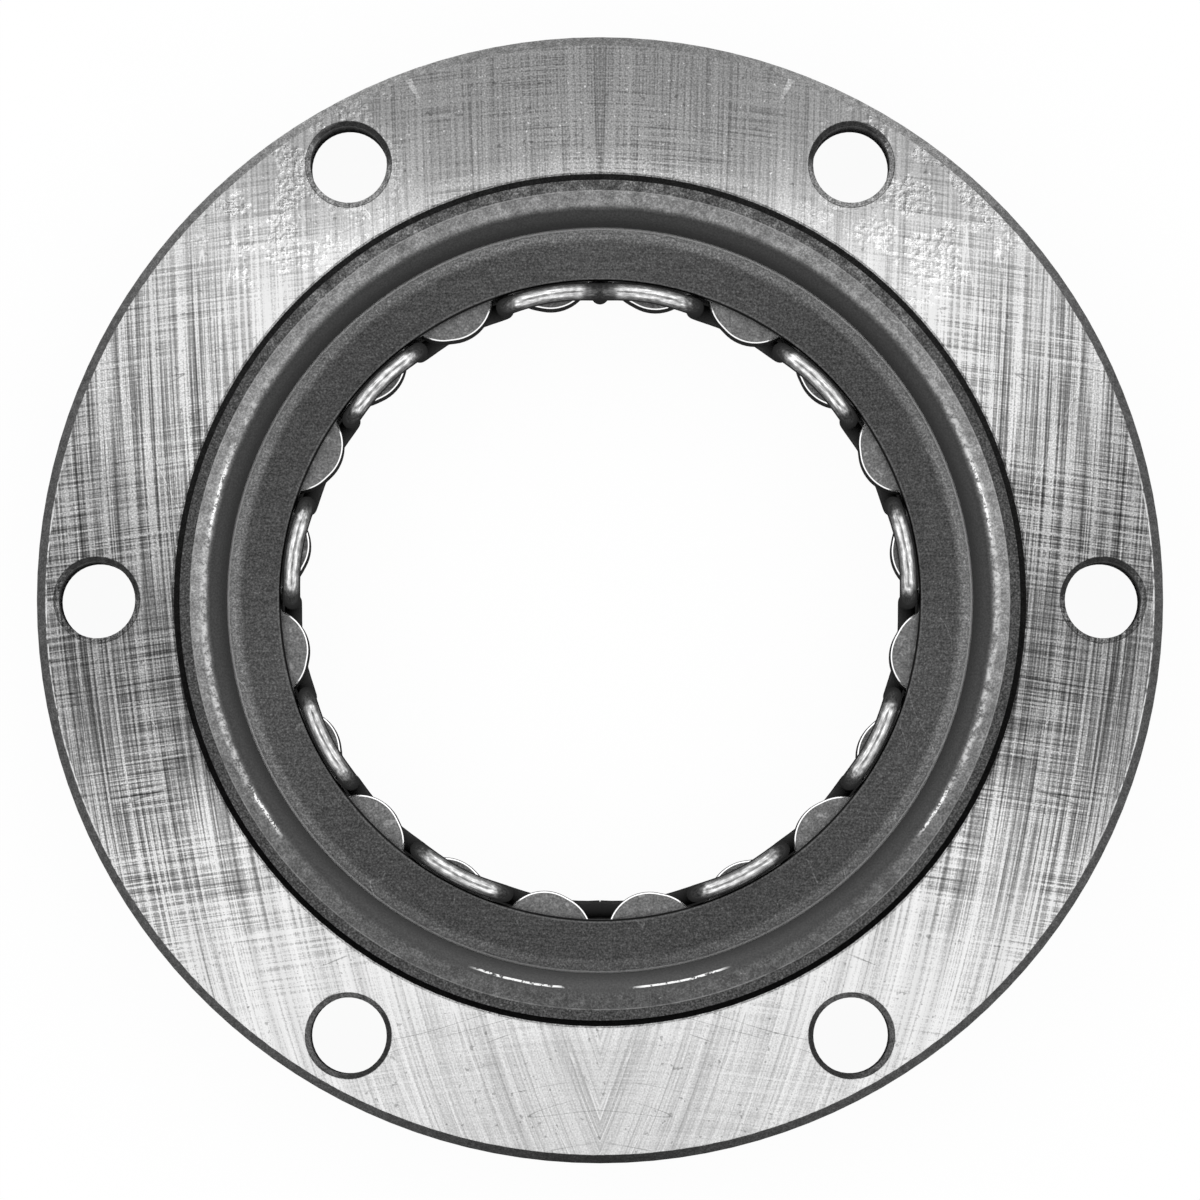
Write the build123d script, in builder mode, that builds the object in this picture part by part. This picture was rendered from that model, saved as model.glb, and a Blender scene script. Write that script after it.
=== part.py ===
from build123d import *

import os
from math import hypot, pi, radians, sqrt, tan

# Flanged one-way sprag clutch, as used between a starter gear and a flywheel.
# The clutch's axis is Z, and the origin is where it meets the ring's rear face.
# The +Z end is the mounting face: what bolts on there traps the cage in the ring.
# Lengths are millimetres and angles are degrees.

# Outer ring: the hardened outer race and its bolt flange in one piece
RACE_D = 70.0
RING_W = 16.0
RACE_CHAMFER = 0.8
SHOULDER_CHAMFER = 1.2
RIM_CHAMFER = 0.8
RECESS_DEPTH = 1.0
RECESS_CHAMFER = 0.2
BOLT_COUNT = 6
BOLT_HOLE_D = 7.0
BOLT_CHAMFER = 0.5
LAND_INSIDE_BOLTS = 3.55
LAND_OUTSIDE_BOLTS = 2.0

# Sprags: each has two round lobes, whose centres are set off from one another
RACE_TO_HUB = 7.8
RACE_GAP = 0.05
HUB_GRIP = 0.2
LOBE_RISE = 0.105
LOBE_SHIFT = 0.29
WAIST_DEPTH = 0.72
WAIST_R = 2.2
SPRAG_GAP = 1.1
SPRAG_END_GAP = 0.2
SPRAG_EDGE_W = 0.2
SPRAG_EDGE_DEPTH = 0.08

# Outer cage: a drawn cup of sheet steel, flanged at the front and lipped behind
SHEET = 0.6
CAGE_GAP = 0.22
FLANGE_REACH = 3.45
FLANGE_PLAY = 0.5
FLANGE_SEAT_GAP = 0.1
FLANGE_BEND_R = 2.05
RIM_STEP_W = 1.05
RIM_STEP_DEPTH = 0.2
REAR_SET_IN = 1.0
REAR_BEND_R = 0.4
WINDOW_GAP = 0.4
WINDOW_END_GAP = 0.15
WINDOW_CORNER_R = 0.3

# Front ring: a pressed cover that is pushed into the cage over the sprags' ends
COVER_SET_IN = 2.2
COVER_SKIRT = 1.1
COVER_BEND_R = 0.65
COVER_EDGE_R = 0.25

# Energising spring: wire that passes before one sprag and behind the next
WIRE_D = 1.6
WIRE_BEND_R = 1.6
WIRE_TO_HUB = 0.22
WIRE_GAP = 0.05
REAR_WIRE_GAP = 0.15

# Radii of the ring and the cage
race_r = RACE_D / 2
wall_r = race_r - CAGE_GAP - SHEET
flange_r = race_r + FLANGE_REACH
recess_r = flange_r + FLANGE_PLAY
bolt_circle_r = recess_r + LAND_INSIDE_BOLTS + BOLT_HOLE_D / 2
ring_r = bolt_circle_r + BOLT_HOLE_D / 2 + LAND_OUTSIDE_BOLTS

# Heights above the ring's rear face
recess_floor = RING_W - RECESS_DEPTH
flange_top = recess_floor + FLANGE_SEAT_GAP + SHEET
cover_top = flange_top - COVER_SET_IN
cover_foot = cover_top - COVER_SKIRT
sprag_front = cover_foot - SPRAG_END_GAP
rear_lip_top = REAR_SET_IN + SHEET
sprag_rear = rear_lip_top + SPRAG_END_GAP
sprag_w = sprag_front - sprag_rear

# A free sprag reaches from just short of the race to a little inside the hub's surface
hub_r = race_r - RACE_TO_HUB
free_height = RACE_TO_HUB - RACE_GAP + HUB_GRIP
pivot_r = race_r - RACE_GAP - free_height / 2
lobe_r = free_height / 2 - LOBE_RISE
swept_r = lobe_r + hypot(LOBE_RISE, LOBE_SHIFT)

# As many pairs of sprags as fit, so that the wire can pass before and behind by turns
sprag_count = 2 * int(pi * pivot_r / (2 * swept_r + SPRAG_GAP))
half_pitch = 180 / sprag_count

# The wire lies just clear of the hub, and the inner lips just clear of the wire
wire_r = hub_r + WIRE_TO_HUB + WIRE_D / 2
crown_r = wire_r + WIRE_BEND_R * tan(radians(half_pitch / 2))
lip_r = crown_r + WIRE_D / 2 + WIRE_GAP
front_crown_z = cover_top + WIRE_GAP + WIRE_D / 2
rear_crown_z = sprag_rear - REAR_WIRE_GAP - WIRE_D / 2

# Directions out from the axis to each sprag, clockwise from the top
sprag_directions = [
    Vector(0, 1, 0).rotate(Axis.Z, -half_pitch * (2 * turn + 1))
    for turn in range(sprag_count)
]

os.makedirs("parts", exist_ok=True)

# ---------------------------------------------------------------- outer ring
with BuildPart() as outer_ring:
    with BuildSketch():
        Circle(ring_r)
        Circle(race_r, mode=Mode.SUBTRACT)
    extrude(amount=RING_W)
    circles = outer_ring.edges().filter_by(GeomType.CIRCLE).group_by(SortBy.RADIUS)
    chamfer(circles[-1], RIM_CHAMFER)
    chamfer(circles[0].sort_by(Axis.Z)[0], RACE_CHAMFER)
    with BuildSketch(Plane.XY.offset(RING_W)):
        Circle(recess_r)
    extrude(amount=-RECESS_DEPTH, mode=Mode.SUBTRACT)
    recess = outer_ring.faces().filter_by(Axis.Z).sort_by(Axis.Z)[-2]
    chamfer(recess.edges().sort_by(SortBy.RADIUS)[0], SHOULDER_CHAMFER)
    mounting_face = outer_ring.faces().filter_by(Axis.Z).sort_by(Axis.Z)[-1]
    chamfer(mounting_face.edges().sort_by(SortBy.RADIUS)[0], RECESS_CHAMFER)
    with PolarLocations(bolt_circle_r, BOLT_COUNT):
        Hole(BOLT_HOLE_D / 2)
    bolt_mouths = outer_ring.edges(Select.LAST).filter_by(GeomType.CIRCLE)
    chamfer(bolt_mouths, BOLT_CHAMFER)
outer_ring.part.label = "outer_ring"
export_step(outer_ring.part, "parts/outer_ring.step")

# ---------------------------------------------------------------- outer cage
lobe_half_chord = sqrt(lobe_r**2 - (wall_r - pivot_r - LOBE_RISE) ** 2)
window_w = 2 * (lobe_half_chord + LOBE_SHIFT + WINDOW_GAP)
window_l = sprag_w + 2 * WINDOW_END_GAP
window_planes = [
    Plane(origin=(0, 0, (sprag_front + sprag_rear) / 2), z_dir=outward)
    for outward in sprag_directions
]

with BuildPart() as outer_cage:
    with BuildSketch(Plane.XZ):
        with BuildLine():
            FilletPolyline(
                (lip_r, rear_lip_top),
                (wall_r, rear_lip_top),
                (wall_r, flange_top),
                (flange_r, flange_top),
                radius=[REAR_BEND_R, FLANGE_BEND_R],
            )
            offset(amount=SHEET, side=Side.RIGHT)
        make_face()
    revolve(axis=Axis.Z)
    with BuildSketch(Plane.XY.offset(flange_top)):
        Circle(flange_r)
        Circle(flange_r - RIM_STEP_W, mode=Mode.SUBTRACT)
    extrude(amount=-RIM_STEP_DEPTH, mode=Mode.SUBTRACT)
    with BuildSketch(*window_planes):
        RectangleRounded(window_w, window_l, WINDOW_CORNER_R)
    extrude(amount=race_r, mode=Mode.SUBTRACT)
outer_cage.part.label = "outer_cage"
export_step(outer_cage.part, "parts/outer_cage.step")

# ---------------------------------------------------------------- front ring
with BuildPart() as front_ring:
    with BuildSketch(Plane.XZ) as cover_section:
        with BuildLine():
            FilletPolyline(
                (lip_r, cover_top),
                (wall_r, cover_top),
                (wall_r, cover_foot),
                radius=COVER_BEND_R,
            )
            offset(amount=SHEET, side=Side.RIGHT)
        make_face()
        lip_corners = cover_section.vertices().group_by(Axis.X)[0]
        fillet(lip_corners.sort_by(Axis.Y)[-1], COVER_EDGE_R)
    revolve(axis=Axis.Z)
front_ring.part.label = "front_ring"
export_step(front_ring.part, "parts/front_ring.step")

# -------------------------------------------------------------------- sprags
waist_y = lobe_r - WAIST_DEPTH + WAIST_R

for number, outward in enumerate(sprag_directions, start=1):
    with BuildPart() as sprag:
        pivot_plane = Plane(origin=outward * pivot_r + Vector(0, 0, sprag_rear), x_dir=outward)
        with BuildSketch(pivot_plane):
            with Locations((LOBE_RISE, LOBE_SHIFT), (-LOBE_RISE, -LOBE_SHIFT)):
                Circle(lobe_r)
            make_hull()
            with Locations((0, waist_y), (0, -waist_y)):
                Circle(WAIST_R, mode=Mode.SUBTRACT)
        extrude(amount=sprag_w)
        for end in (0, -1):
            end_face = sprag.faces().sort_by(Axis.Z)[end]
            chamfer(end_face.edges(), SPRAG_EDGE_W, SPRAG_EDGE_DEPTH, reference=end_face)
    sprag.part.label = f"sprag_{number:02d}"
    export_step(sprag.part, f"parts/{sprag.part.label}.step")


# --------------------------------------------------------- energising spring
def gap_plane(steps):
    """Upright plane, tangent to the wire's circle some half pitches clockwise from the top.
    Its x runs on clockwise along the circle, and its y is the height."""
    outward = Vector(0, 1, 0).rotate(Axis.Z, -steps * half_pitch)
    heading = outward.rotate(Axis.Z, -90)
    return Plane(origin=outward * wire_r, x_dir=heading, z_dir=heading.cross(Vector(0, 0, 1)))


# The wire's two ends are turned down together and welded into one leg in the top gap.
# From there it weaves down both sides alike, and meets itself in the bottom gap.
with BuildPart() as energising_spring:
    gaps = [gap_plane(steps) for steps in range(0, sprag_count + 1, 2)]
    with BuildLine() as route:
        tail = gaps[0].from_local_coords((0, sprag_rear))
        Line(tail, gaps[0].from_local_coords((0, front_crown_z - WIRE_BEND_R)))
        for loop, (gap, next_gap) in enumerate(zip(gaps, gaps[1:])):
            in_front = loop % 2 == 0
            crown_z = front_crown_z if in_front else rear_crown_z
            next_z = rear_crown_z if in_front else front_crown_z
            up = Vector(0, 0, 1 if in_front else -1)
            crown_start = gap.from_local_coords((WIRE_BEND_R, crown_z))
            TangentArc(route.line @ 1, crown_start, tangent=up)
            if next_gap is gaps[-1]:
                TangentArc(crown_start, next_gap.from_local_coords((0, crown_z)), tangent=gap.x_dir)
                break
            crown_end = next_gap.from_local_coords((-WIRE_BEND_R, crown_z))
            next_leg = next_gap.from_local_coords((0, crown_z)) - up * WIRE_BEND_R
            TangentArc(crown_start, crown_end, tangent=gap.x_dir)
            TangentArc(crown_end, next_leg, tangent=next_gap.x_dir)
            Line(next_leg, next_gap.from_local_coords((0, next_z)) + up * WIRE_BEND_R)
    with BuildSketch(Plane(origin=tail, z_dir=(0, 0, 1))):
        Circle(WIRE_D / 2)
    sweep(path=route.line)
    split(bisect_by=Plane.YZ)
    mirror(about=Plane.YZ)
energising_spring.part.label = "energising_spring"
export_step(energising_spring.part, "parts/energising_spring.step")
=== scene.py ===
import bpy
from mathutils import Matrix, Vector


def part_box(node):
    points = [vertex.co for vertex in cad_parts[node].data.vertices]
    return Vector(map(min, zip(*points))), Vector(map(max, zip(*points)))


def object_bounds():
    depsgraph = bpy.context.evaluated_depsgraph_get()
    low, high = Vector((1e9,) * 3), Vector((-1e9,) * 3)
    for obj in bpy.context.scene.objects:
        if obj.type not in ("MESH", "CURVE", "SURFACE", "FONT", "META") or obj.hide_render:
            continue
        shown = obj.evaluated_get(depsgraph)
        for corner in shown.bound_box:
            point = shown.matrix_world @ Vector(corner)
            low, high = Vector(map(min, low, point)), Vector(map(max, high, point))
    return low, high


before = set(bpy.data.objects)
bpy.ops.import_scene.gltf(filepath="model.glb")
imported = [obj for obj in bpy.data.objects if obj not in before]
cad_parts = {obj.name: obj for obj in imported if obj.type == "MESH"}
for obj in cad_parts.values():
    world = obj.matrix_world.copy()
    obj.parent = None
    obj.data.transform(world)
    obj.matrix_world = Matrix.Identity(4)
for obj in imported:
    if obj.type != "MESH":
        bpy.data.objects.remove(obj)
cad_low, cad_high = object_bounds()

# Scene lengths are metres, in the row frame: the clutch's axis is Z and its
# mounting face is up. Materials measure in millimetres on each piece's own mesh.
MM_PER_METRE = 1000.0


def corners_mm(node):
    """Lowest and highest corner of a CAD node, in millimetres."""
    low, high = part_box(node)
    return Vector(low) * MM_PER_METRE, Vector(high) * MM_PER_METRE


_, ring_high = corners_mm("outer_ring")
_, cage_high = corners_mm("outer_cage")
cover_low, cover_high = corners_mm("front_ring")
sprag_low, sprag_high = corners_mm("sprag_01")
wire_low, wire_high = corners_mm("energising_spring")
sprags = [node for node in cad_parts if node.startswith("sprag_")]

# Sizes that the pieces' boxes don't show, in millimetres
RIM_CHAMFER = 0.8
HOLE_CHAMFER = 0.5
HOLE_MOUTH_D = 8.0
LAND_OUTSIDE_HOLES = 1.5
RECESS_CHAMFER = 0.2
FLANGE_TO_MOUTH = 0.7
RIM_STEP_W = 1.05
FLANGE_BEND_R = 2.05
COVER_LIP_R = 29.2
HUB_R = 27.2

# Radii of the ring's face, of its bolt holes' reach and of the mouth of the cage's recess,
# then of the step on the cage's flange, of the cage's wall and of the start of its bend
face_r = ring_high.x - RIM_CHAMFER
holes_outer_r = ring_high.x - LAND_OUTSIDE_HOLES
holes_inner_r = holes_outer_r - HOLE_MOUTH_D
mouth_r = cage_high.x + FLANGE_TO_MOUTH
step_r = cage_high.x - RIM_STEP_W
wall_r = cover_high.x
bend_r = wall_r + FLANGE_BEND_R


# ------------------------------------------------------------------ nodes
class Tree:
    """A node tree, with short calls for the nodes that a look is made of."""

    def __init__(self, tree):
        self.tree = tree
        self.tree.nodes.clear()

    def node(self, kind, **settings):
        made = self.tree.nodes.new("ShaderNode" + kind)
        for key, value in settings.items():
            setattr(made, key, value)
        return made

    def join(self, value, socket):
        """Puts a number, a colour or another node's output on a socket."""
        if isinstance(value, bpy.types.NodeSocket):
            self.tree.links.new(value, socket)
        else:
            socket.default_value = value

    def split(self, vector):
        """The three parts of a vector."""
        made = self.node("SeparateXYZ")
        self.join(vector, made.inputs[0])
        return tuple(made.outputs)

    def math(self, operation, first, second=0.0):
        made = self.node("Math", operation=operation)
        self.join(first, made.inputs[0])
        self.join(second, made.inputs[1])
        return made.outputs[0]

    def add(self, first, *others):
        for other in others:
            first = self.math("ADD", first, other)
        return first

    def times(self, first, *others):
        for other in others:
            first = self.math("MULTIPLY", first, other)
        return first

    def less(self, first, second):
        return self.math("SUBTRACT", first, second)

    def most(self, first, *others):
        for other in others:
            first = self.math("MAXIMUM", first, other)
        return first

    def least(self, first, second):
        return self.math("MINIMUM", first, second)

    def size(self, value):
        return self.math("ABSOLUTE", value)

    def ramp(self, value, start, end, low=0.0, high=1.0):
        """Goes smoothly from low to high as the value goes from start to end."""
        made = self.node("MapRange", interpolation_type="SMOOTHSTEP")
        for number, setting in enumerate((value, start, end, low, high)):
            self.join(setting, made.inputs[number])
        return made.outputs[0]


class Look(Tree):
    """A material, with the places on the mesh in millimetres: point, x, y, z and r, the
    distance from the axis. side is the distance from the plane X = 0, and angle is measured
    from that side, so that it runs from -90 to 90 degrees on both halves alike."""

    def __init__(self, name):
        self.material = bpy.data.materials.new(name)
        self.material.use_nodes = True
        super().__init__(self.material.node_tree)
        self.output = self.node("OutputMaterial")

        scaled = self.node("VectorMath", operation="SCALE")
        self.join(self.node("TexCoord").outputs["Object"], scaled.inputs[0])
        scaled.inputs["Scale"].default_value = MM_PER_METRE
        self.point = scaled.outputs[0]
        self.x, self.y, self.z = self.split(self.point)
        self.side = self.size(self.x)
        squares = self.add(self.times(self.x, self.x), self.times(self.y, self.y))
        self.r = self.math("SQRT", squares)
        self.angle = self.math("DEGREES", self.math("ARCTAN2", self.y, self.side))

    def band(self, value, centre, half_width, softness):
        """1 within half_width of the centre, falling to 0 over the softness."""
        away = self.size(self.less(value, centre))
        return self.ramp(away, half_width + softness, half_width)

    def curve(self, value, stops):
        """A smooth curve near (value, result) stops, level beyond the first and the last.
        What it gives never passes 1, even near a stop whose result does."""
        first, last = stops[0][0], stops[-1][0]
        where = self.node("MapRange")
        for number, setting in enumerate((value, first, last, 0.0, 1.0)):
            self.join(setting, where.inputs[number])
        made = self.node("ValToRGB")
        made.color_ramp.interpolation = "B_SPLINE"
        elements = made.color_ramp.elements
        elements.remove(elements[0])
        for index, (at, result) in enumerate(stops):
            place = (at - first) / (last - first)
            element = elements[0] if index == 0 else elements.new(place)
            element.position = place
            element.color = (result, result, result, 1)
        self.join(where.outputs[0], made.inputs[0])
        return made.outputs[0]

    def vector(self, x, y, z):
        made = self.node("CombineXYZ")
        for socket, value in zip(made.inputs, (x, y, z)):
            self.join(value, socket)
        return made.outputs[0]

    def noise(self, vector, scale=1.0, detail=3.0, roughness=0.5):
        """Noise about zero, mostly within a quarter either way."""
        made = self.node("TexNoise")
        self.join(vector, made.inputs["Vector"])
        made.inputs["Scale"].default_value = scale
        made.inputs["Detail"].default_value = detail
        made.inputs["Roughness"].default_value = roughness
        return self.less(made.outputs[0], 0.5)

    def lines(self, across, along, width, length, seed, detail=4.0, roughness=0.7):
        """Noise drawn out along one direction, in streaks of about that width and length."""
        stretched = self.vector(self.times(across, 1 / width), self.times(along, 1 / length), seed)
        return self.noise(stretched, 1.0, detail, roughness)

    def scratches(self, across, along, spacing, length, seed, thickness):
        """Thin lines where slow noise crosses zero, kept only in scattered stretches."""
        slow = self.lines(across, along, spacing, length, seed, detail=1.0, roughness=0.4)
        line = self.ramp(self.size(slow), thickness, thickness / 3)
        kept = self.lines(across, along, spacing * 2, length / 3, seed + 5.0, detail=2.0)
        return self.times(line, self.ramp(kept, 0.03, 0.10))

    def mixed(self, *parts):
        """The sum of (value, amount) parts."""
        return self.add(*(self.times(value, amount) for value, amount in parts))

    def marked(self, value, *marks):
        """A value under (noise, amount) marks, which darken and lighten it in proportion."""
        return self.times(value, self.math("EXPONENT", self.mixed(*marks)))

    def raised(self, value, where, amount=1.0):
        """A value raised by that share of itself in the places where the mask is 1."""
        return self.times(value, self.add(self.times(where, amount), 1.0))

    def blend(self, share, first, second):
        """first where share is 0, second where it is 1."""
        made = self.node("Mix", data_type="FLOAT")
        self.join(share, made.inputs[0])
        self.join(first, made.inputs[2])
        self.join(second, made.inputs[3])
        return made.outputs[0]

    def grey(self, value):
        """A colour with the same value in all three channels."""
        made = self.node("CombineColor")
        for socket in made.inputs:
            self.join(value, socket)
        return made.outputs[0]

    def normal(self):
        """The mesh's own normal: outwards from X = 0, towards +Y, and up."""
        x, y, z = self.split(self.node("TexCoord").outputs["Normal"])
        return self.times(x, self.math("SIGN", self.x)), y, z

    def eased(self, amount):
        """The surface's normal, turned towards +Z by a share that grows with the amount."""
        turned = self.node("VectorMath", operation="ADD")
        self.join(self.node("NewGeometry").outputs["Normal"], turned.inputs[0])
        self.join(self.vector(0.0, 0.0, amount), turned.inputs[1])
        made = self.node("VectorMath", operation="NORMALIZE")
        self.join(turned.outputs[0], made.inputs[0])
        return made.outputs[0]

    def metal(self, value, roughness, relief, share=1.0, normal=None):
        """Joins a grey surface of that value and roughness, with a relief in millimetres.
        It is bare metal where share is 1, and a matte dark skin where it is 0."""
        brightest = 0.95
        shader = self.node("BsdfPrincipled")
        shader.inputs["Specular IOR Level"].default_value = 0.0
        self.join(share, shader.inputs["Metallic"])
        self.join(self.grey(self.least(value, brightest)), shader.inputs["Base Color"])
        self.join(roughness, shader.inputs["Roughness"])
        bump = self.node("Bump")
        bump.inputs["Strength"].default_value = 1.0
        bump.inputs["Distance"].default_value = 1 / MM_PER_METRE
        self.join(relief, bump.inputs["Height"])
        if normal is not None:
            self.join(normal, bump.inputs["Normal"])
        self.join(bump.outputs[0], shader.inputs["Normal"])
        self.join(shader.outputs[0], self.output.inputs["Surface"])
        return self.material


# ------------------------------------------------------------- outer ring
def wheel_paths(look):
    """Places across the grinding wheel's long arcs, which steepen towards -Y, and across
    the fainter marks that cross them."""
    arc_reach, arc_fall = 3.26, 34.0
    cross_lean, cross_bow = 0.15, 120.0
    arc = look.times(look.math("EXPONENT", look.times(look.y, -1 / arc_fall)), arc_reach)
    bowed = look.math("SQRT", look.add(look.times(look.x, look.x), cross_bow))
    return look.add(look.side, arc), look.add(look.y, look.times(bowed, cross_lean))


def grinding_marks(look, arcs, crossings):
    """The broad bands along the wheel's arcs, and all grinding marks together."""
    broad = look.lines(arcs, look.y, width=1.0, length=60.0, seed=1.0, detail=3.0)
    fine = look.add(
        look.lines(arcs, look.y, width=0.34, length=40.0, seed=2.0, detail=1.0),
        look.lines(arcs, look.y, width=0.19, length=16.0, seed=6.0, detail=1.0),
    )
    cross = look.lines(crossings, look.side, width=0.8, length=50.0, seed=3.0, detail=3.0)
    cross_fine = look.add(
        look.lines(crossings, look.side, width=0.30, length=22.0, seed=4.0, detail=1.0),
        look.lines(crossings, look.side, width=0.18, length=9.0, seed=7.0, detail=1.0),
    )
    down = look.times(
        look.mixed((broad, 1.8), (fine, 4.0)),
        look.ramp(look.angle, 55.0, 78.0, 1.0, 0.6),
    )
    crossing = look.times(
        look.mixed((cross, 0.65), (cross_fine, 2.6)),
        look.ramp(look.noise(look.point, scale=0.11), -0.12, 0.12, 0.35, 1.5),
        look.ramp(look.angle, 55.0, 78.0, 1.0, 0.8),
        look.ramp(look.angle, -75.0, -50.0, 0.6, 1.0),
    )
    return broad, look.add(down, crossing)


def face_painted_light(look, wander):
    """The ground face's painted light and shade: by angle, leaning across the land, paler near the
    recess.
    """
    tone = look.curve(wander, [
        (-90, 0.66), (-72, 0.73), (-57, 0.92), (-41, 0.86), (-24, 0.34), (-8, 0.226), (8, 0.25),
        (22, 0.41), (36, 0.68), (48, 0.76), (64, 0.38), (73, 0.35), (82, 0.325), (90, 0.33),
    ])
    leaning = look.curve(look.angle, [
        (-90, 0.53), (-60, 0.51), (-45, 0.44), (-20, 0.47), (0, 0.50), (20, 0.54), (40, 0.64),
        (60, 0.74), (75, 0.66), (90, 0.60),
    ])
    inwards = look.ramp(look.r, mouth_r - 0.15, face_r - 0.2, 1.0, -1.0)
    paler = look.curve(look.angle, [
        (-90, 0.14), (-70, 0.05), (-50, 0.0), (40, 0.0), (60, 0.16), (75, 0.30), (90, 0.34),
    ])
    near_recess = look.ramp(look.r, mouth_r + 2.45, mouth_r + 0.45)
    tone = look.raised(tone, look.times(look.less(leaning, 0.5), inwards))
    return look.raised(tone, look.times(near_recess, paler))


def mark_depth(look, wander):
    """How strongly the grinding marks show: most at the sides."""
    return look.curve(wander, [
        (-90, 0.28), (-62, 0.16), (-46, 0.36), (-28, 1.05), (0, 1.35), (20, 1.35), (36, 0.50),
        (50, 0.18), (66, 0.42), (84, 0.80), (90, 0.80),
    ])


def with_marks(look, tone, marks, grain):
    """The tone with grinding marks and pits. The marks may lighten it only so far."""
    palest = look.curve(look.angle, [
        (-90, 0.10), (-62, 0.10), (-40, 0.26), (-20, 0.62), (20, 0.66), (40, 0.24), (55, 0.10),
        (90, 0.10),
    ])
    pits = look.curve(look.angle, [
        (-90, 0.33), (-45, 0.40), (-20, 0.80), (18, 0.80), (42, 0.35), (58, 0.33), (74, 0.77),
        (90, 0.77),
    ])
    return look.marked(tone, (look.least(marks, palest), 1.0), (look.times(grain, pits), 3.0))


def with_scratches(look, ground, arcs, crossings):
    """The ground face with long light and dark scratches, dark specks and glints."""
    light = look.scratches(arcs, look.y, spacing=2.2, length=60.0, seed=11.0, thickness=0.006)
    slanting = look.less(look.side, look.times(look.y, 0.5))
    slanting = look.scratches(
        slanting, look.y, spacing=6.0, length=60.0, seed=13.0, thickness=0.0035)
    dark = look.add(crossings, look.times(look.side, 0.2))
    dark = look.scratches(dark, look.side, spacing=3.0, length=40.0, seed=12.0, thickness=0.004)
    specks = look.ramp(look.noise(look.point, scale=1.9, detail=1.0), 0.20, 0.25)
    glints = look.noise(look.vector(look.x, look.y, 3.0), scale=2.6, detail=1.0)
    glints = look.times(look.ramp(glints, 0.21, 0.26), look.ramp(look.angle, 30.0, 62.0, 0.15, 0.9))
    ground = look.raised(ground, look.most(light, slanting), 0.6)
    ground = look.raised(ground, dark, -0.5)
    ground = look.raised(ground, specks, -0.4)
    return look.raised(ground, glints)


def handling_dents(look):
    """Lumpy noise all over, and where it makes small dents around the upper holes: the light and
    shade painted on their sides, and their relief."""

    def lumpy(x, y):
        return look.noise(look.vector(x, y, 7.0), scale=1.75, detail=2.0, roughness=0.6)

    shift = 0.10
    lumps = lumpy(look.x, look.y)
    beside = lumpy(look.add(look.x, shift), look.less(look.y, shift))
    near = look.times(
        look.band(look.angle, 53.0, 7.0, 8.0),
        look.ramp(look.r, mouth_r + 0.35, holes_inner_r + 3.5, 0.2, 1.0),
        look.ramp(look.noise(look.point, scale=0.30, detail=2.0), -0.02, 0.05),
    )
    shading = look.times(look.less(lumps, beside), near)
    return lumps, shading, look.times(look.ramp(lumps, 0.0, 0.16), near)


def with_painted_edge_highlight(look, ground):
    """The ground face with a broken painted highlight along its outer edge, at both sides. Nothing
    on the face gets brighter than the limit."""
    limit = 0.92
    line = look.times(
        look.band(look.r, face_r - 0.07, 0.03, 0.05),
        look.band(look.angle, -6.0, 14.0, 12.0),
        look.ramp(look.noise(look.point, scale=1.4), -0.12, 0.06),
    )
    return look.least(look.blend(line, ground, 0.85), limit)


def hole_chamfer_value(look, ground):
    """A share of the ground face's value, dark on the side where the holes' walls show in
    the photograph."""
    # Painted shade on one side of each chamfer, and painted light on the rest that is dimmer on the
    # lower holes
    outwards, upwards, _ = look.normal()
    above = look.mixed((upwards, -1.0), (outwards, 0.35))
    below = look.mixed((outwards, 0.8), (upwards, 0.5))
    shaded = look.ramp(look.blend(look.ramp(look.y, -12.0, -2.0), below, above), 0.0, 0.45)
    lit = look.times(ground, look.ramp(look.y, -30.0, -5.0, 0.13, 0.50))
    return look.blend(shaded, lit, 0.040)


def unground_value(look, ground, outside_holes):
    """Value by place where the ring isn't ground: bore, chamfers, rim, holes and recess."""
    width = ring_high.z

    # The rim's front half and its chamfer carry painted light by angle, and all below is dark
    painted_rim_light = look.curve(look.angle, [
        (-90, 0.028), (-75, 0.080), (-50, 0.120), (-20, 0.120), (5, 0.115), (30, 0.130),
        (45, 0.20), (62, 0.46), (75, 0.30), (90, 0.24),
    ])
    rim = look.times(outside_holes, look.ramp(look.z, width / 2, width - 2.0))
    value = look.blend(rim, 0.055, painted_rim_light)

    # The bolt holes: wall, chamfer with painted light and shade, and a dark line where the chamfer
    # meets the face
    inside = look.less(1.0, outside_holes)
    wall = look.times(inside, look.ramp(look.r, holes_inner_r - 1.0, holes_inner_r - 0.5))
    value = look.blend(wall, value, 0.15)
    foot = width - HOLE_CHAMFER
    edge = look.times(inside, look.ramp(look.z, foot - 0.05, foot + 0.05))
    value = look.blend(edge, value, hole_chamfer_value(look, ground))
    line = look.times(edge, look.ramp(look.z, width - 0.09, width - 0.06))
    value = look.blend(look.times(line, 0.8), value, 0.05)

    # The cage's recess in painted shade, with a paler line on its chamfer
    recess = look.times(
        look.ramp(look.r, mouth_r + 0.15, mouth_r + 0.05),
        look.ramp(look.z, width - 2.0, width - 1.6),
    )
    value = look.blend(recess, value, look.ramp(look.angle, -40.0, 40.0, 0.008, 0.030))
    foot = width - RECESS_CHAMFER
    line = look.times(recess, look.ramp(look.z, foot + 0.01, foot + 0.05))
    return look.blend(line, value, look.times(ground, 0.5))


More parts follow.
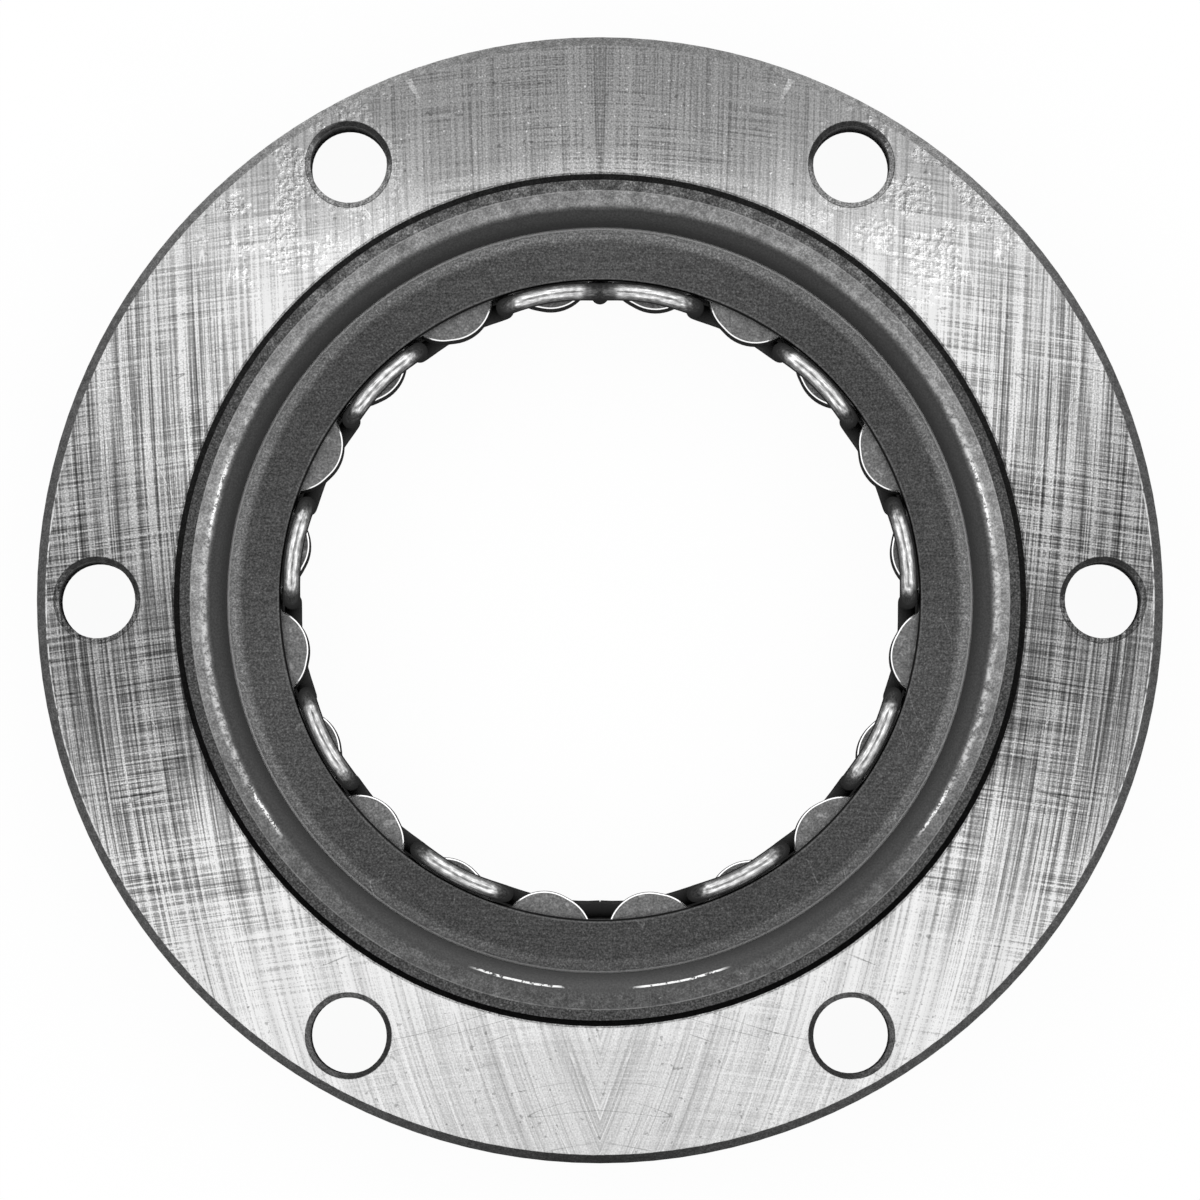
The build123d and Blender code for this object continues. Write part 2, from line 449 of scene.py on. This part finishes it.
def ring_steel():
    """Ground faces with crossing grinding marks and painted light and shade by angle; chamfers,
    rim, recess and bores are dark, the rim and chamfers with painted light by angle and the recess
    in painted shade.
    """
    look = Look("ring_steel")
    width = ring_high.z
    grain = look.noise(look.point, scale=6.0, detail=2.0, roughness=0.6)
    patches = look.noise(look.point, scale=0.16, detail=2.0)
    wander = look.add(look.angle, look.times(patches, 14.0))
    arcs, crossings = wheel_paths(look)
    broad, marks = grinding_marks(look, arcs, crossings)
    marks = look.times(marks, mark_depth(look, wander))
    lumps, shading, dents = handling_dents(look)

    ground = with_marks(look, face_painted_light(look, wander), marks, grain)
    ground = with_scratches(look, ground, arcs, crossings)
    ground = look.marked(ground, (shading, 3.6))
    ground = with_painted_edge_highlight(look, ground)

    outside_holes = look.ramp(look.r, holes_outer_r - 0.4, holes_outer_r)
    unground = unground_value(look, ground, outside_holes)
    unground = look.marked(unground, (grain, 2.4), (lumps, 1.2))

    # The front and rear faces are ground, and the front one has slightly frayed edges
    frayed = look.add(look.z, look.times(look.noise(look.point, scale=1.4), 0.10))
    front = look.ramp(frayed, width - 0.045, width - 0.03)
    rear = look.ramp(look.z, 0.05, 0.015)
    is_ground = look.most(front, rear)
    matte = look.add(look.times(grain, 0.2), 0.45)
    polished = look.add(look.times(broad, 0.25), 0.33)
    relief = look.mixed(
        (marks, 0.0016), (dents, 0.08), (grain, look.blend(is_ground, 0.012, 0.004)))
    return look.metal(
        look.blend(is_ground, unground, ground),
        look.blend(is_ground, matte, polished),
        relief,
        share=look.most(is_ground, outside_holes),
    )


# ------------------------------------------------------------- outer cage
def bead_value(look, grain, mottle):
    """The flat of the flange, in painted light: palest at the sides."""
    bead = look.curve(look.angle, [
        (-90, 0.092), (-75, 0.105), (-45, 0.112), (-20, 0.18), (0, 0.29), (20, 0.27),
        (40, 0.225), (90, 0.21),
    ])
    return look.marked(bead, (grain, 2.6), (mottle, 1.8))


def bend_value(look, grain):
    """The bend of the flange, in painted shade: dark, and darkest at the wall."""
    bend = look.curve(look.angle, [(-90, 0.072), (-60, 0.056), (0, 0.042), (90, 0.038)])
    bend = look.times(bend, look.ramp(look.r, wall_r + 0.02, wall_r + 1.32, 0.68, 1.2))
    return look.marked(bend, (grain, 1.2))


def with_crest_wear_and_sheen(look, top, uneven_r, grain, rubbed):
    """The flange with its crest rubbed bright and given a painted sheen: a soft painted sheen at
    the sides, painted glints, hard, in short lines, and bright chips at the bottom."""
    # A soft painted sheen along the rubbed crest, mostly at the sides
    sides = look.band(look.angle, 0.0, 22.0, 18.0)
    wear_and_sheen = look.times(
        look.add(look.times(sides, 0.62), look.ramp(look.angle, -60.0, -10.0, 0.0, 0.14)),
        look.band(uneven_r, bend_r + 0.09, 0.10, 0.34),
        look.ramp(rubbed, -0.10, 0.14),
    )
    top = look.blend(wear_and_sheen, top, 0.72)
    # Painted glints in short lines on the crest
    jagged_r = look.add(uneven_r, look.times(grain, 0.22))
    hard = look.times(
        look.add(look.band(look.angle, 15.0, 3.0, 5.0), look.band(look.angle, -32.0, 1.5, 4.0)),
        look.band(jagged_r, bend_r + 0.01, 0.07, 0.10),
        look.ramp(look.add(grain, rubbed), -0.12, 0.04),
    )
    top = look.blend(hard, top, 1.0)
    chips = look.times(
        look.band(look.angle, -78.0, 5.0, 3.0),
        look.band(uneven_r, bend_r - 0.65, 0.06, 0.06),
        look.ramp(rubbed, -0.12, 0.0),
    )
    return look.blend(chips, top, 0.95)


def with_stepped_rim(look, top, grain, mottle):
    """The flange with its darker stepped rim, and a thin pale line at the step."""
    line = look.times(
        look.band(look.r, step_r + 0.05, 0.03, 0.06),
        look.ramp(mottle, -0.2, 0.1, 0.3, 1.0),
    )
    top = look.blend(look.times(line, 0.35), top, 0.5)
    # The rim is paler and more mottled towards the top
    upper_rim = look.ramp(look.angle, 28.0, 46.0)
    rim = look.blend(upper_rim, 0.066, 0.100)
    rim = look.marked(rim, (grain, 4.5), (look.times(mottle, upper_rim), 3.5))
    return look.blend(look.ramp(look.r, step_r + 0.08, step_r + 0.14), top, rim)


def cage_steel():
    """Phosphated sheet with a fine grain, rubbed bright and given a painted sheen along the crest
    of the flange's bend, with painted light on the flange's flat and painted shade in its bend.
    """
    look = Look("cage_steel")
    grain = look.noise(look.point, scale=5.5, detail=2.0, roughness=0.7)
    mottle = look.noise(look.point, scale=0.7, detail=4.0, roughness=0.65)
    rubbed = look.noise(look.point, scale=2.2, roughness=0.7)
    uneven_r = look.add(look.r, look.times(look.noise(look.point, scale=0.4, detail=2.0), 0.22))

    inner = look.ramp(uneven_r, bend_r + 0.23, bend_r - 0.63)
    top = look.blend(inner, bead_value(look, grain, mottle), bend_value(look, grain))
    top = with_crest_wear_and_sheen(look, top, uneven_r, grain, rubbed)
    top = with_stepped_rim(look, top, grain, mottle)
    spots = look.ramp(look.noise(look.point, scale=2.3, detail=2.0, roughness=0.7), 0.23, 0.28)
    top = look.raised(top, look.times(spots, look.less(1.0, inner)), 1.2)

    flange = look.ramp(look.z, cage_high.z - 2.0, cage_high.z - 1.8)
    value = look.blend(flange, look.marked(0.075, (grain, 1.5)), top)
    roughness = look.add(look.times(grain, 0.25), look.blend(flange, 0.5, 0.42))
    normal = look.eased(look.times(inner, flange, 2.5))
    return look.metal(value, roughness, look.times(grain, 0.010), normal=normal)


# ------------------------------------------------------------- front ring
def cover_steel():
    """Darker sheet, with faint turning marks, a rim made paler by painted light and a thin pale
    line by the lip that is a painted highlight.
    """
    look = Look("cover_steel")
    grain = look.noise(look.point, scale=5.5, detail=2.0, roughness=0.7)
    arcs = look.lines(look.r, look.angle, width=0.25, length=9.0, seed=3.0, detail=3.0)
    brushed = look.lines(look.y, look.side, width=0.22, length=4.0, seed=4.0, detail=2.0)
    # Painted light by angle on the flat, and stronger painted light on the rounded rim
    plain = look.curve(look.angle, [
        (-90, 0.062), (-45, 0.060), (-20, 0.084), (0, 0.072), (45, 0.056), (80, 0.078),
        (90, 0.078),
    ])
    pale = look.curve(look.angle, [
        (-90, 0.085), (-45, 0.110), (-12, 0.18), (15, 0.175), (45, 0.12), (75, 0.17), (90, 0.15),
    ])
    value = look.blend(look.ramp(look.r, wall_r - 1.58, wall_r - 0.78), plain, pale)
    value = look.marked(value, (grain, 3.4), (arcs, 0.6), (brushed, 1.0))
    slanting = look.add(look.x, look.times(look.y, 0.4))
    scratch = look.scratches(
        slanting, look.y, spacing=5.0, length=14.0, seed=9.0, thickness=0.004)
    value = look.raised(value, scratch, 0.8)

    # Painted light where the rounded rim nears the cage's wall; a painted highlight line by the
    # lip, which is in painted shade
    corner = look.times(
        look.ramp(look.r, wall_r - 0.32, wall_r - 0.18),
        look.ramp(grain, -0.30, 0.15, 0.5, 1.0),
    )
    value = look.blend(corner, value, look.ramp(look.angle, -70.0, -20.0, 0.34, 0.50))
    line = look.times(
        look.band(look.r, COVER_LIP_R + 0.28, 0.04, 0.06),
        look.ramp(grain, -0.2, 0.1, 0.3, 1.0),
    )
    value = look.blend(look.times(line, 0.5), value, 0.17)
    value = look.blend(look.ramp(look.r, COVER_LIP_R + 0.22, COVER_LIP_R + 0.16), value, 0.015)

    rounded = look.times(
        look.ramp(look.r, wall_r - 0.88, wall_r - 0.58),
        look.ramp(look.z, cover_low.z + 0.1, cover_low.z + 0.3),
    )
    roughness = look.add(look.times(grain, 0.2), 0.45)
    normal = look.eased(look.times(rounded, 4.0))
    return look.metal(value, roughness, look.times(grain, 0.010), normal=normal)


# ------------------------------------------------------ energising spring
def wire_steel():
    """Drawn wire, polished along its front crowns; its sides, its turns in between the sprags and
    the joint at the top are painted dark as shade.
    """
    look = Look("wire_steel")
    loops = len(sprags) / 2
    wave = look.math("SINE", look.math("RADIANS", look.times(look.angle, loops)))
    middle = (wire_low.z + wire_high.z) / 2
    reach = wire_high.z - middle
    away = look.size(look.less(look.z, middle))
    # Only the upward faces near the front are bare metal; the rest is painted dark as shade
    facing = look.ramp(look.size(look.normal()[2]), 0.45, 0.85)
    top = look.times(facing, look.ramp(away, reach - 1.5, reach - 1.0))

    stretched = look.vector(
        look.times(look.r, 7.0), look.times(look.angle, 0.5), look.times(look.z, 7.0))
    drawn = look.noise(stretched, roughness=0.6)
    patch = look.noise(look.point, scale=1.6, detail=2.0)
    # The crowns are polished; the elbows that turn down and the joint at the top are painted dark
    # as shade
    crown = look.ramp(look.add(wave, look.times(patch, 0.7)), 0.10, 0.60)
    joint = look.times(look.ramp(look.side, 2.0, 1.1), look.ramp(look.y, -1.0, 1.0))
    crown = look.times(crown, look.less(1.0, joint))
    polished = look.marked(look.blend(crown, 0.11, 0.52), (drawn, 3.0), (patch, 1.5))
    roughness = look.blend(crown, 0.36, look.add(look.times(drawn, 0.25), 0.15))
    value = look.blend(top, 0.035, polished)
    return look.metal(value, roughness, look.times(drawn, 0.004), share=top)


# ----------------------------------------------------------------- sprags
def sprag_steel():
    """Matte speckled ends inside a broken edge painted bright as a highlight, with sides painted
    dark as shade.
    """
    look = Look("sprag_steel")
    middle = (sprag_low.z + sprag_high.z) / 2
    reach = sprag_high.z - middle
    away = look.size(look.less(look.z, middle))
    end = look.ramp(away, reach - 0.02, reach - 0.006)
    edge = look.ramp(away, reach - 0.062, reach - 0.052)
    mottle = look.noise(look.point, scale=1.3, detail=4.0, roughness=0.7)
    grain = look.noise(look.point, scale=5.0, detail=2.0, roughness=0.6)
    spots = look.ramp(look.noise(look.point, scale=1.5, detail=0.0), 0.22, 0.27)
    face = look.marked(0.165, (mottle, 1.6), (grain, 2.2))
    face = look.add(face, look.times(spots, 0.10))
    matte = look.add(look.times(grain, 0.3), 0.40)
    # Sides painted dark as shade, the chamfer edge painted bright as a highlight
    value = look.blend(end, look.blend(edge, 0.035, 0.90), face)
    roughness = look.blend(end, look.blend(edge, 0.4, 0.25), matte)
    return look.metal(value, roughness, look.times(grain, 0.006), share=edge)


def dress(material, *nodes):
    """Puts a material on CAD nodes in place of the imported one."""
    for node in nodes:
        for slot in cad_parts[node].material_slots:
            slot.material = material


dress(ring_steel(), "outer_ring")
dress(cage_steel(), "outer_cage")
dress(cover_steel(), "front_ring")
dress(wire_steel(), "energising_spring")
dress(sprag_steel(), *sprags)


# ------------------------------------------------------------------ stage
def floor_white():
    """White where the camera or a gloss sees it, but for a share of the shadow that falls on it. It
    carries a painted shadow under the sprags and in the narrow gap at the bottom of the bore."""
    look = Look("floor_white")
    # Painted shadow in the narrow gap at the bottom of the bore and under the sprags
    gap = look.times(
        look.ramp(look.side, 1.0, 0.7),
        look.ramp(look.y, -(HUB_R + 0.25), -(HUB_R + 0.40)),
    )
    under = look.times(
        look.most(look.ramp(look.r, HUB_R + 1.1, HUB_R + 1.5), gap),
        look.ramp(look.r, wall_r - 0.18, wall_r - 1.18),
    )
    uneven = look.noise(look.point, scale=0.04, detail=2.0)
    matte = look.node("BsdfDiffuse")
    look.join(look.grey(look.ramp(uneven, -0.3, 0.3, 0.90, 0.94)), matte.inputs["Color"])
    glow = look.node("Emission")
    glow.inputs["Color"].default_value = (1, 1, 1, 1)
    look.join(look.blend(under, 1.0, 0.012), glow.inputs["Strength"])

    glow_share = 0.955
    path = look.node("LightPath")
    kinds = ("Camera", "Glossy", "Transmission")
    seen = look.most(*(path.outputs[f"Is {kind} Ray"] for kind in kinds))
    mix = look.node("MixShader")
    look.join(look.times(seen, glow_share), mix.inputs["Fac"])
    look.join(matte.outputs[0], mix.inputs[1])
    look.join(glow.outputs[0], mix.inputs[2])
    one_sided = look.node("MixShader")
    look.join(look.node("NewGeometry").outputs["Backfacing"], one_sided.inputs["Fac"])
    look.join(mix.outputs[0], one_sided.inputs[1])
    look.join(look.node("BsdfTransparent").outputs[0], one_sided.inputs[2])
    look.join(one_sided.outputs[0], look.output.inputs["Surface"])
    return look.material


def studio_dome():
    """A pale dome: soft light from all round above, with a dim patch straight overhead."""
    world = bpy.data.worlds.new("studio_dome")
    world.use_nodes = True
    dome = Tree(world.node_tree)
    _, y, z = dome.split(dome.node("TexCoord").outputs["Generated"])
    overhead = dome.ramp(z, 0.985, 0.955, 0.36, 1.0)
    falling = dome.ramp(z, 0.25, 0.75, 0.36, 1.45)
    sides = dome.ramp(y, -1.0, 1.0, 0.85, 1.15)
    background = dome.node("Background")
    dome.join(dome.times(overhead, falling, sides), background.inputs["Color"])
    dome.join(background.outputs[0], dome.node("OutputWorld").inputs["Surface"])
    return world


# The floor reaches past every view and lies just clear of the ring's rear face
FLOOR_SIZE = 200 * cad_high.x
FLOOR_DROP = 0.0001
bpy.ops.mesh.primitive_plane_add(size=FLOOR_SIZE, location=(0, 0, -FLOOR_DROP))
floor = bpy.context.object
floor.name = "floor"
floor.data.materials.append(floor_white())

scene = bpy.context.scene
scene.world = studio_dome()
scene.view_settings.view_transform = "Standard"

# The camera looks down on the mounting face from just below the axis in the picture
VIEW_WIDTH = 0.10968
VIEW_DISTANCE = 2.0
VIEW_OFFSET = 0.031
camera = bpy.data.objects.new("camera", bpy.data.cameras.new("camera"))
scene.collection.objects.link(camera)
scene.camera = camera
camera.data.lens = camera.data.sensor_width * VIEW_DISTANCE / VIEW_WIDTH
target = Vector((0, 0, cad_high.z))
camera.location = target + Vector((0, -VIEW_OFFSET, VIEW_DISTANCE))
camera.rotation_mode = "QUATERNION"
camera.rotation_quaternion = (target - camera.location).to_track_quat("-Z", "Y")
camera.data.clip_start = 0.01
camera.data.clip_end = 10.0
